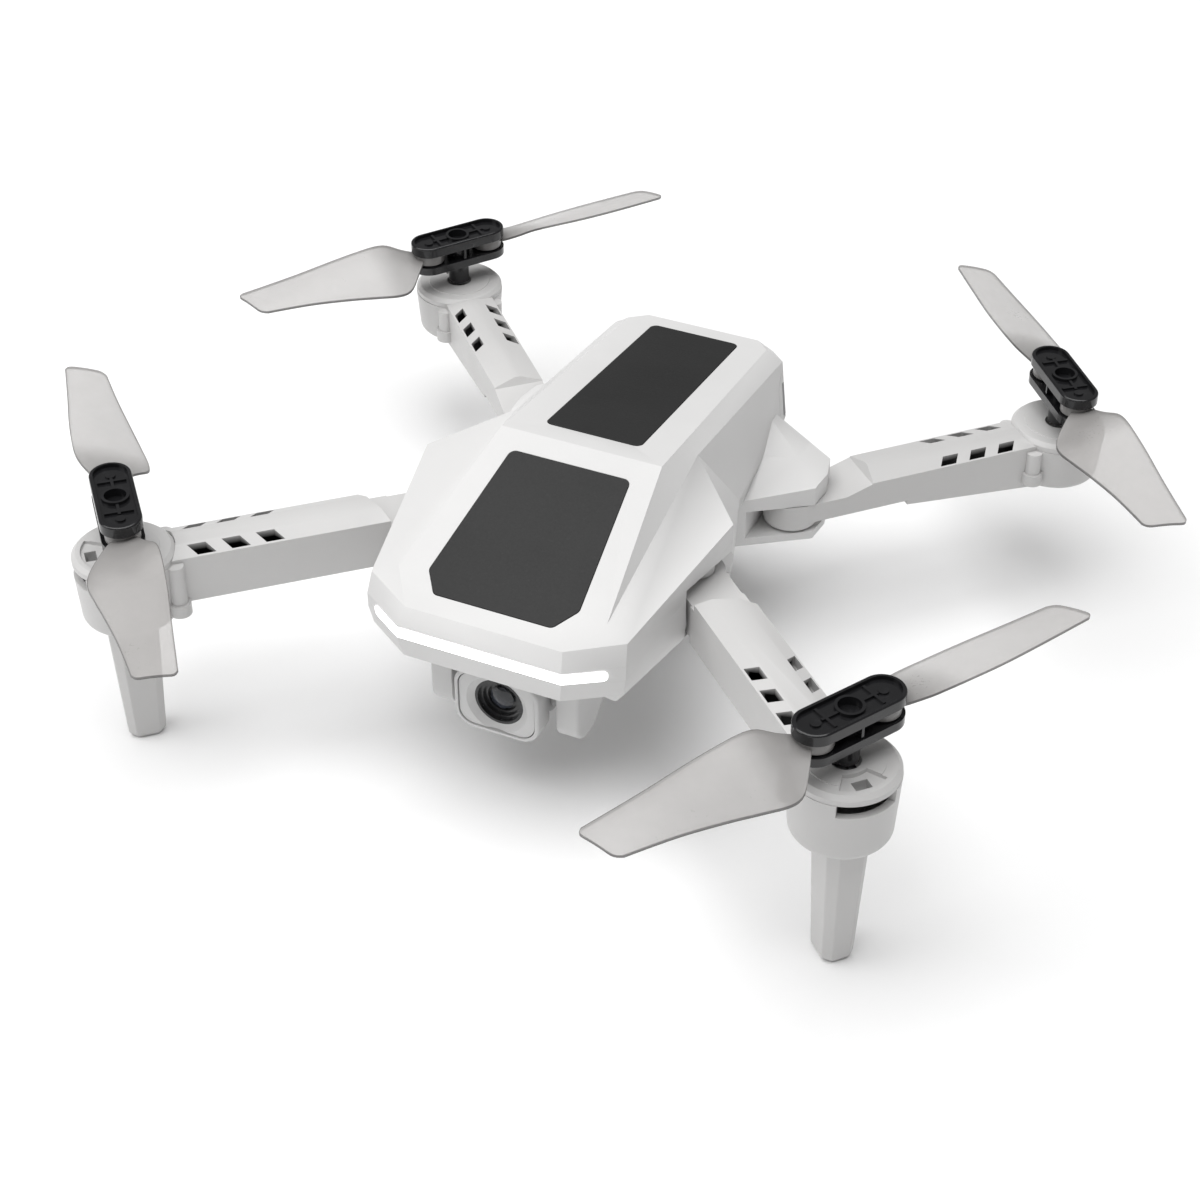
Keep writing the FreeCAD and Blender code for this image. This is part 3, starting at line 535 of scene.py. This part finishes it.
def blade_at(distance):
    """The blade's edges, pitch and camber at a distance from its pin, on a smooth curve."""
    last = len(BLADE_STATIONS) - 1
    here = 0
    while here < last - 1 and BLADE_STATIONS[here + 1][0] < distance:
        here += 1
    before, start, end, after = (
        BLADE_STATIONS[min(max(at, 0), last)] for at in range(here - 1, here + 3)
    )
    span = end[0] - start[0]
    t = min(max((distance - start[0]) / span, 0.0), 1.0)
    values = []
    for a, b, c, d in zip(before[1:], start[1:], end[1:], after[1:]):
        enter = (c - a) / (end[0] - before[0]) * span
        leave = (d - b) / (after[0] - start[0]) * span
        values.append(
            b * (2 * t**3 - 3 * t**2 + 1) + c * (3 * t**2 - 2 * t**3)
            + enter * (t**3 - 2 * t**2 + t) + leave * (t**3 - t**2)
        )
    return values


def blade_point(along, across, level):
    """A point of a blade in mm from its pin, and how close it is to the rim and to the root."""
    root, tip = BLADE_STATIONS[0][0], BLADE_STATIONS[-1][0]
    end = tip - BLADE_TIP_SLANT * (0.5 - 0.5 * across) - BLADE_TIP_ROUND * abs(across) ** 9
    distance = root + (end - root) * along
    lead, trail, pitch, camber = blade_at(distance)
    width = across * (lead + trail) / 2 + (lead - trail) / 2
    slope = math.radians(pitch)
    edge = min((1 - abs(across)) * (lead + trail) / 2, (1 - along) * (end - root))
    rise = width * math.sin(slope) + camber * (1 - across * across)
    height = rise + (level - 0.5) * BLADE_THICK
    rim = max(0.0, 1.0 - edge / BLADE_RIM)
    shoulder = max(0.0, 1.0 - distance / BLADE_ROOT)
    return Vector((distance, width * math.cos(slope), height)), rim, shoulder


def blade_mesh(pin, out, hand):
    """A blade as one smooth twisted sheet of even thickness, and the eye that it turns on."""
    mesh = bmesh.new()
    rim_layer = mesh.verts.layers.float.new("rim")
    root_layer = mesh.verts.layers.float.new("root")
    bmesh.ops.create_grid(mesh, x_segments=BLADE_ROWS[0], y_segments=BLADE_ROWS[1], size=1.0)
    sheet = bmesh.ops.extrude_face_region(mesh, geom=mesh.faces[:])
    for vert in sheet["geom"]:
        if isinstance(vert, bmesh.types.BMVert):
            vert.co.z = 1.0
    side = Vector((-out.y, out.x, 0.0)) * hand
    for vert in mesh.verts:
        along = 1.0 - (1.0 - (vert.co.x + 1.0) / 2.0) ** 1.25
        across = math.copysign(1.0 - (1.0 - abs(vert.co.y)) ** 1.6, vert.co.y)
        place, vert[rim_layer], vert[root_layer] = blade_point(along, across, vert.co.z)
        vert.co = pin + (out * place.x + side * place.y + Vector((0.0, 0.0, place.z))) * MM
    eye = []
    half_eye = Vector((0.0, 0.0, BLADE_EYE_HALF * MM))
    for radius in BLADE_EYE:
        ring = bmesh.ops.create_circle(
            mesh, segments=BLADE_EYE_SIDES, radius=radius * MM
        )["verts"]
        bmesh.ops.translate(mesh, verts=ring, vec=pin - half_eye)
        eye.extend(ring)
    edges = dict.fromkeys(edge for vert in eye for edge in vert.link_edges)
    washer = bmesh.ops.bridge_loops(mesh, edges=list(edges))["faces"]
    raised = bmesh.ops.extrude_face_region(mesh, geom=washer)["geom"]
    lifted = [vert for vert in raised if isinstance(vert, bmesh.types.BMVert)]
    bmesh.ops.translate(mesh, verts=lifted, vec=half_eye * 2.0)
    for vert in (*eye, *lifted):
        vert[root_layer] = 1.0
    bmesh.ops.recalc_face_normals(mesh, faces=mesh.faces)
    return mesh


def paint(nodes, material):
    """Gives CAD nodes their finish."""
    for node in nodes:
        slots = FRAME["nodes"][node].data.materials
        slots.clear()
        slots.append(material)


# ---- operators ----------------------------------------------------------------------------------
FLOOR_HALF = 6.0
# each softbox: where it stands and its side, in metres
TOP_SOFTBOX = ((-0.2, -0.2, 2.1), 2.6)
SIDE_SOFTBOX = ((-0.75, -0.55, 0.55), 0.6)
# the hollow of an arm's beam, painted dark as shade: from the hinge, short of the pod, to each side,
# under the top; in mm
BEAM_FROM_HINGE = 28.0
BEAM_FROM_POD = 13.0
BEAM_HALF_WIDTH = 6.0
BEAM_ROOF = 1.7
HINGE_BELOW_TOP = 7.0


class DRONE_OT_stage(bpy.types.Operator):
    """Set the camera, the white sweep and the soft lights."""

    bl_idname = "drone.stage"
    bl_label = "Studio"

    def execute(self, context):
        settings = context.scene.drone_studio
        scene = context.scene
        scene.view_settings.view_transform = "Standard"
        aim = Vector(settings.aim)
        flat = math.cos(settings.elevation)
        out = Vector((
            math.sin(settings.azimuth) * flat,
            -math.cos(settings.azimuth) * flat,
            math.sin(settings.elevation),
        ))
        data = bpy.data.cameras.new("camera")
        data.lens = settings.lens
        data.sensor_width = 36.0
        data.clip_start = 0.01
        camera = bpy.data.objects.new("camera", data)
        camera.location = aim + out * settings.distance
        camera.rotation_euler = (-out).to_track_quat("-Z", "Y").to_euler()
        scene.collection.objects.link(camera)
        scene.camera = camera

        sweep = bmesh.new()
        bmesh.ops.create_grid(sweep, x_segments=2, y_segments=2, size=FLOOR_HALF)
        floor_data = bpy.data.meshes.new("floor")
        sweep.to_mesh(floor_data)
        sweep.free()
        paper = Finish("floor_paper")
        tooth = paper.noise(420.0, 3.0)
        floor_data.materials.append(paper.done(paper.surface({
            "Base Color": paper.mix(
                tooth, shade(settings.floor_tone, 0.995), tuple(settings.floor_tone)
            ),
            "Roughness": tooth * 0.05 + 0.85,
            "Specular IOR Level": 0.1,
        })))
        floor = bpy.data.objects.new("floor", floor_data)
        scene.collection.objects.link(floor)

        world = bpy.data.worlds.new("room")
        world.use_nodes = True
        room = world.node_tree.nodes["Background"]
        room.inputs["Color"].default_value = (1.0, 1.0, 1.0, 1.0)
        room.inputs["Strength"].default_value = settings.room_light
        scene.world = world

        self.softbox(scene, "top_light", *TOP_SOFTBOX, settings.top_power)
        self.softbox(scene, "side_light", *SIDE_SOFTBOX, settings.side_power)
        return {"FINISHED"}

    @staticmethod
    def softbox(scene, name, place, size, power):
        """A square lamp that faces the drone."""
        data = bpy.data.lights.new(name, "AREA")
        data.size = size
        data.energy = power
        lamp = bpy.data.objects.new(name, data)
        lamp.location = place
        towards = Vector((0.0, 0.0, 0.03)) - Vector(place)
        lamp.rotation_euler = towards.to_track_quat("-Z", "Y").to_euler()
        scene.collection.objects.link(lamp)


class DRONE_OT_shells(bpy.types.Operator):
    """Round the edges of the white body covers and finish them."""

    bl_idname = "drone.shells"
    bl_label = "Body shells"

    def execute(self, context):
        settings = context.scene.drone_shell
        white = moulded_plastic("shell_white", settings.shell_tone, settings.gloss)
        for node in ("top_cover", "bottom_cover"):
            softened(node, settings.edge, settings.steps, white)
        paint(("battery_case", "tail_skid"), white)
        return {"FINISHED"}


class DRONE_OT_panels(bpy.types.Operator):
    """Finish the two dark plates in the top."""

    bl_idname = "drone.panels"
    bl_label = "Dark plates"

    def execute(self, context):
        settings = context.scene.drone_panels
        steps = context.scene.drone_shell.steps
        # the same plate material twice: lighter on the nose plate as painted light, darker on the
        # rear plate as painted shade
        softened("front_panel", settings.edge, steps,
                 dark_plate("panel_dark", settings.front_lit_tone, 0.5))
        softened("rear_panel", settings.edge, steps,
                 dark_plate("panel_black", settings.rear_shaded_tone, 0.5))
        return {"FINISHED"}


class DRONE_OT_light_bar(bpy.types.Operator):
    """Light the bar round the nose."""

    bl_idname = "drone.light_bar"
    bl_label = "Light bar"

    def execute(self, context):
        paint(("light_bar",), lit_lens("light_lens", context.scene.drone_light))
        return {"FINISHED"}


class DRONE_OT_camera(bpy.types.Operator):
    """Finish the camera, its cradle and its lens."""

    bl_idname = "drone.camera"
    bl_label = "Camera"

    def execute(self, context):
        settings = context.scene.drone_shell
        grey = moulded_plastic("bezel_grey", settings.bezel_tone, settings.gloss)
        for node in ("camera_yoke", "camera_housing"):
            softened(node, settings.small_edge, settings.steps, grey)
        paint(("camera_bezel",), grey)
        paint(("camera_lens_ring",), gloss_black("lens_black", (0.02, 0.02, 0.021), 0.12))
        paint(("camera_lens_glass",), coated_glass("lens_glass"))
        return {"FINISHED"}


class DRONE_OT_arms(bpy.types.Operator):
    """Finish the arms, pod caps and legs."""

    bl_idname = "drone.arms"
    bl_label = "Arms and legs"

    def execute(self, context):
        settings = context.scene.drone_shell
        white = moulded_plastic("arm_white", settings.arm_tone, settings.gloss)
        for corner in CORNERS:
            # the inside of each arm's beam is painted dark as shade
            softened(f"{corner}_arm", settings.small_edge, settings.steps, white,
                     self.beam_hollow_shade(corner))
            softened(f"{corner}_cap", settings.small_edge, settings.steps, white)
        for corner in FRONT_CORNERS:
            softened(f"{corner}_leg", settings.small_edge, settings.steps, white)
        return {"FINISHED"}

    @staticmethod
    def beam_hollow_shade(corner):
        """A test for points inside an arm's hollow beam, below its windows."""
        hinge = joint_place(f"{corner}_arm_fold")
        along = joint_place(f"{corner}_rotor_spin") - hinge
        roof = hinge.z + (HINGE_BELOW_TOP - BEAM_ROOF) * MM
        along.z = 0.0
        reach = along.length
        along.normalize()

        def test(point):
            place = point - hinge
            place.z = 0.0
            distance = place.dot(along)
            aside = (place - along * distance).length
            between = BEAM_FROM_HINGE * MM < distance < reach - BEAM_FROM_POD * MM
            return between and aside < BEAM_HALF_WIDTH * MM and point.z < roof
        return test


class DRONE_OT_metalwork(bpy.types.Operator):
    """Finish the motors, shafts, pins and screws."""

    bl_idname = "drone.metalwork"
    bl_label = "Motors, pins and screws"

    def execute(self, context):
        steel = turned_metal("steel", (0.62, 0.62, 0.63), 0.25, 4000.0)
        can = turned_metal("motor_metal", (0.42, 0.42, 0.43), 0.3, 2500.0)
        paint(("hinge_pins", "body_screws"), steel)
        for corner in CORNERS:
            paint((f"{corner}_screws", f"{corner}_shaft"), steel)
            paint((f"{corner}_motor",), can)
        return {"FINISHED"}


class DRONE_OT_inside(bpy.types.Operator):
    """Finish the circuit board, the buttons and the latches."""

    bl_idname = "drone.inside"
    bl_label = "Board and buttons"

    def execute(self, context):
        paint(("circuit_board",), solder_mask("board_green"))
        grey = soft_button("button_grey", (0.35, 0.35, 0.36))
        paint(("battery_latch_left", "battery_latch_right", "power_button"), grey)
        return {"FINISHED"}


class DRONE_OT_hubs(bpy.types.Operator):
    """Finish the gloss black propeller hubs."""

    bl_idname = "drone.hubs"
    bl_label = "Propeller hubs"

    def execute(self, context):
        settings = context.scene.drone_rotors
        black = gloss_black("hub_black", tuple(settings.hub_tone), 0.08)
        for corner in CORNERS:
            paint((f"{corner}_hub_base", f"{corner}_hub_top", f"{corner}_hub_pins"), black)
        return {"FINISHED"}


class DRONE_OT_blades(bpy.types.Operator):
    """Make the smoky blades, with their darker roots and edges."""

    bl_idname = "drone.blades"
    bl_label = "Blades"

    def execute(self, context):
        settings = context.scene.drone_rotors
        film = blade_film("blade_grey", settings)
        for corner, hand in CORNERS.items():
            axis = joint_place(f"{corner}_rotor_spin")
            for blade in ("a", "b"):
                node = f"{corner}_blade_{blade}"
                pin = joint_place(f"{node}_fold")
                out = pin - axis
                out.z = 0.0
                mesh = blade_mesh(pin, out.normalized(), hand)
                piece = finished(f"{node}_film", mesh, film, record_body(node))
                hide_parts(node)
        return {"FINISHED"}


class DRONE_PT_looks(bpy.types.Panel):
    """The steps that dress the drone, in order."""

    bl_label = "Quadcopter looks"
    bl_idname = "DRONE_PT_looks"
    bl_space_type = "VIEW_3D"
    bl_region_type = "UI"
    bl_category = "Quadcopter"

    def draw(self, context):
        for step in STEPS:
            self.layout.operator(step.bl_idname)
        for name, group in SETTINGS.items():
            settings = getattr(context.scene, name)
            column = self.layout.column(heading=group.__doc__)
            for field in group.__annotations__:
                column.prop(settings, field)


STEPS = (
    DRONE_OT_stage,
    DRONE_OT_shells,
    DRONE_OT_panels,
    DRONE_OT_light_bar,
    DRONE_OT_camera,
    DRONE_OT_arms,
    DRONE_OT_metalwork,
    DRONE_OT_inside,
    DRONE_OT_hubs,
    DRONE_OT_blades,
)
CLASSES = (*SETTINGS.values(), *STEPS, DRONE_PT_looks)


def register():
    """Adds the settings, the operators and the panel."""
    for kind in CLASSES:
        bpy.utils.register_class(kind)
    for name, group in SETTINGS.items():
        setattr(bpy.types.Scene, name, PointerProperty(type=group))


def unregister():
    """Takes them away again."""
    for name in SETTINGS:
        delattr(bpy.types.Scene, name)
    for kind in reversed(CLASSES):
        bpy.utils.unregister_class(kind)


def main():
    """Dresses the drone and writes the size of its frame and of its looks."""
    register()
    for step in STEPS:
        area, name = step.bl_idname.split(".")
        getattr(getattr(bpy.ops, area), name)()


if __name__ == "__main__":
    main()
